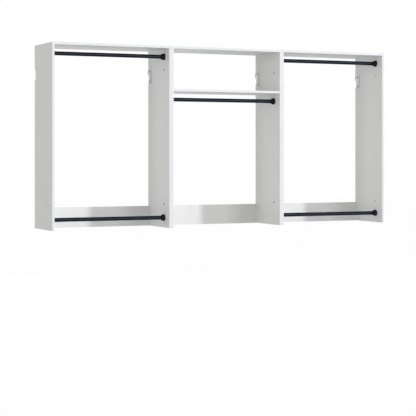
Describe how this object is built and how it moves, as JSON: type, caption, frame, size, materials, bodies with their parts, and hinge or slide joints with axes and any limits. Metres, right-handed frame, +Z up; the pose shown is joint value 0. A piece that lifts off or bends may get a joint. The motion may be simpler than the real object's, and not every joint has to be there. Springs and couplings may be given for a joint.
{
  "type": "wall-mounted closet system",
  "caption": "Wall-hung closet system of open board units side by side, with hanging rods in flared cups, a cubby shelf, low back rails and hook brackets at the rear notches.",
  "frame": {"origin": "on the wall, at the foot of the units, in the middle of the whole width", "axes": "+X along the wall to the right, +Y into the wall, so that the front faces -Y, and +Z up"},
  "size_m": [2.4, 0.356, 1.168],
  "materials": {
    "board": "white melamine face on particle board, satin",
    "edge_band": "white edge band, satin",
    "rod": "blue-black satin coating",
    "rod_cup": "blue-black satin coating",
    "bracket": "light grey zinc coat, satin",
    "screw": "zinc-plated steel",
    "connector": "nickel-plated steel",
    "cam": "die-cast zinc",
    "dowel": "bare beech, fluted"
  },
  "bodies": {
    "units": {"left_unit_left_side": "board", "left_unit_right_side": "board", "left_unit_top": "board", "left_unit_back_rail": "board", "middle_unit_left_side": "board", "middle_unit_right_side": "board", "middle_unit_top": "board", "middle_unit_shelf": "board", "middle_unit_back_rail": "board", "right_unit_left_side": "board", "right_unit_right_side": "board", "right_unit_top": "board", "right_unit_back_rail": "board", "left_unit_left_band": "edge_band", "left_unit_right_band": "edge_band", "left_unit_top_band": "edge_band", "middle_unit_left_band": "edge_band", "middle_unit_right_band": "edge_band", "middle_unit_top_band": "edge_band", "middle_unit_shelf_band": "edge_band", "right_unit_left_band": "edge_band", "right_unit_right_band": "edge_band", "right_unit_top_band": "edge_band", "left_upper_rod_open_cup": "rod_cup", "left_upper_rod_closed_cup": "rod_cup", "left_lower_rod_open_cup": "rod_cup", "left_lower_rod_closed_cup": "rod_cup", "middle_rod_open_cup": "rod_cup", "middle_rod_closed_cup": "rod_cup", "right_upper_rod_open_cup": "rod_cup", "right_upper_rod_closed_cup": "rod_cup", "right_lower_rod_open_cup": "rod_cup", "right_lower_rod_closed_cup": "rod_cup", "left_unit_left_bracket": "bracket", "left_unit_right_bracket": "bracket", "middle_unit_left_bracket": "bracket", "middle_unit_right_bracket": "bracket", "right_unit_left_bracket": "bracket", "right_unit_right_bracket": "bracket", "bracket_screws": "screw", "cup_screws": "screw", "connector_bolts": "connector", "connector_sleeves": "connector", "cam_locks": "cam", "cam_bolts": "screw", "dowels": "dowel"},
    "left_upper_rod_body": {"left_upper_rod": "rod"},
    "left_lower_rod_body": {"left_lower_rod": "rod"},
    "middle_rod_body": {"middle_rod": "rod"},
    "right_upper_rod_body": {"right_upper_rod": "rod"},
    "right_lower_rod_body": {"right_lower_rod": "rod"}
  },
  "joints": [
    {"name": "left_upper_rod_turn", "type": "hinge", "parent": "units", "child": "left_upper_rod_body", "pos_m": [-0.8, -0.272, 1.103], "axis": [1, 0, 0], "continuous": true},
    {"name": "left_lower_rod_turn", "type": "hinge", "parent": "units", "child": "left_lower_rod_body", "pos_m": [-0.8, -0.272, 0.064], "axis": [1, 0, 0], "continuous": true},
    {"name": "middle_rod_turn", "type": "hinge", "parent": "units", "child": "middle_rod_body", "pos_m": [0, -0.272, 0.828], "axis": [1, 0, 0], "continuous": true},
    {"name": "right_upper_rod_turn", "type": "hinge", "parent": "units", "child": "right_upper_rod_body", "pos_m": [0.8, -0.272, 1.103], "axis": [1, 0, 0], "continuous": true},
    {"name": "right_lower_rod_turn", "type": "hinge", "parent": "units", "child": "right_lower_rod_body", "pos_m": [0.8, -0.272, 0.064], "axis": [1, 0, 0], "continuous": true}
  ]
}
